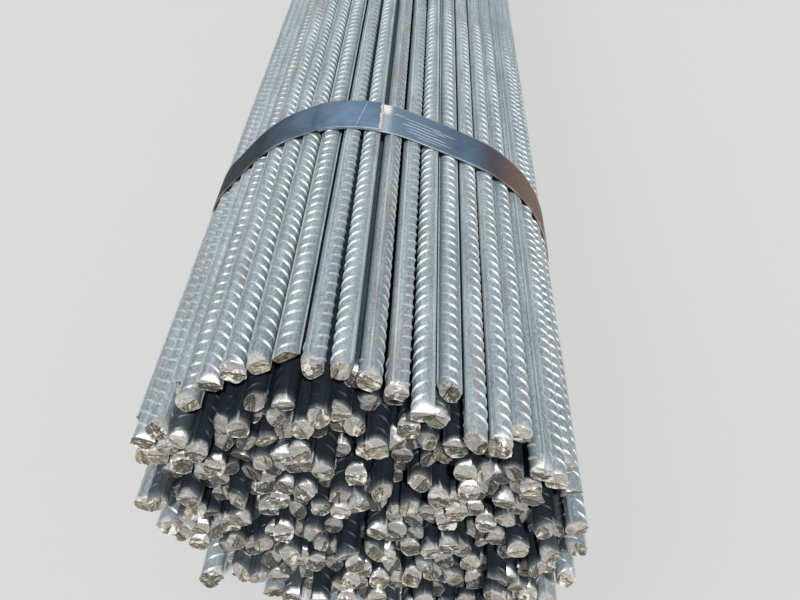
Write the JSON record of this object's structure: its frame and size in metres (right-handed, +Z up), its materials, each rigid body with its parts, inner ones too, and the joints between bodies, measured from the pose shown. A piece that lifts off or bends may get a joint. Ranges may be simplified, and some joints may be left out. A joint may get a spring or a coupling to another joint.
{
  "type": "rebar bundle",
  "caption": "Round bundle of long ribbed steel reinforcing bars with sheared ends, held tight by flat steel straps and lying level.",
  "frame": {"origin": "on the floor, under the middle of the bundle's box", "axes": "+Y along the bars, +Z up; the end shown in the picture is the one at -Y"},
  "size_m": [0.2734, 6.0472, 0.2496],
  "materials": {
    "bar_steel": "blue-grey mill scale, satin, with bright sheared ends",
    "strap_steel": "blued strap steel, scratched, rusting at one side"
  },
  "bodies": {
    "root": {"bars_row_01": "bar_steel", "bars_row_02": "bar_steel", "bars_row_03": "bar_steel", "bars_row_04": "bar_steel", "bars_row_05": "bar_steel", "bars_row_06": "bar_steel", "bars_row_07": "bar_steel", "bars_row_08": "bar_steel", "bars_row_09": "bar_steel", "bars_row_10": "bar_steel", "bars_row_11": "bar_steel", "bars_row_12": "bar_steel", "bars_row_13": "bar_steel", "bars_row_14": "bar_steel", "bars_row_15": "bar_steel", "bars_row_16": "bar_steel", "bars_row_17": "bar_steel", "bars_row_18": "bar_steel", "bars_row_19": "bar_steel", "bars_row_20": "bar_steel", "strap_1": "strap_steel", "strap_2": "strap_steel", "strap_3": "strap_steel", "strap_4": "strap_steel"}
  },
  "joints": []
}
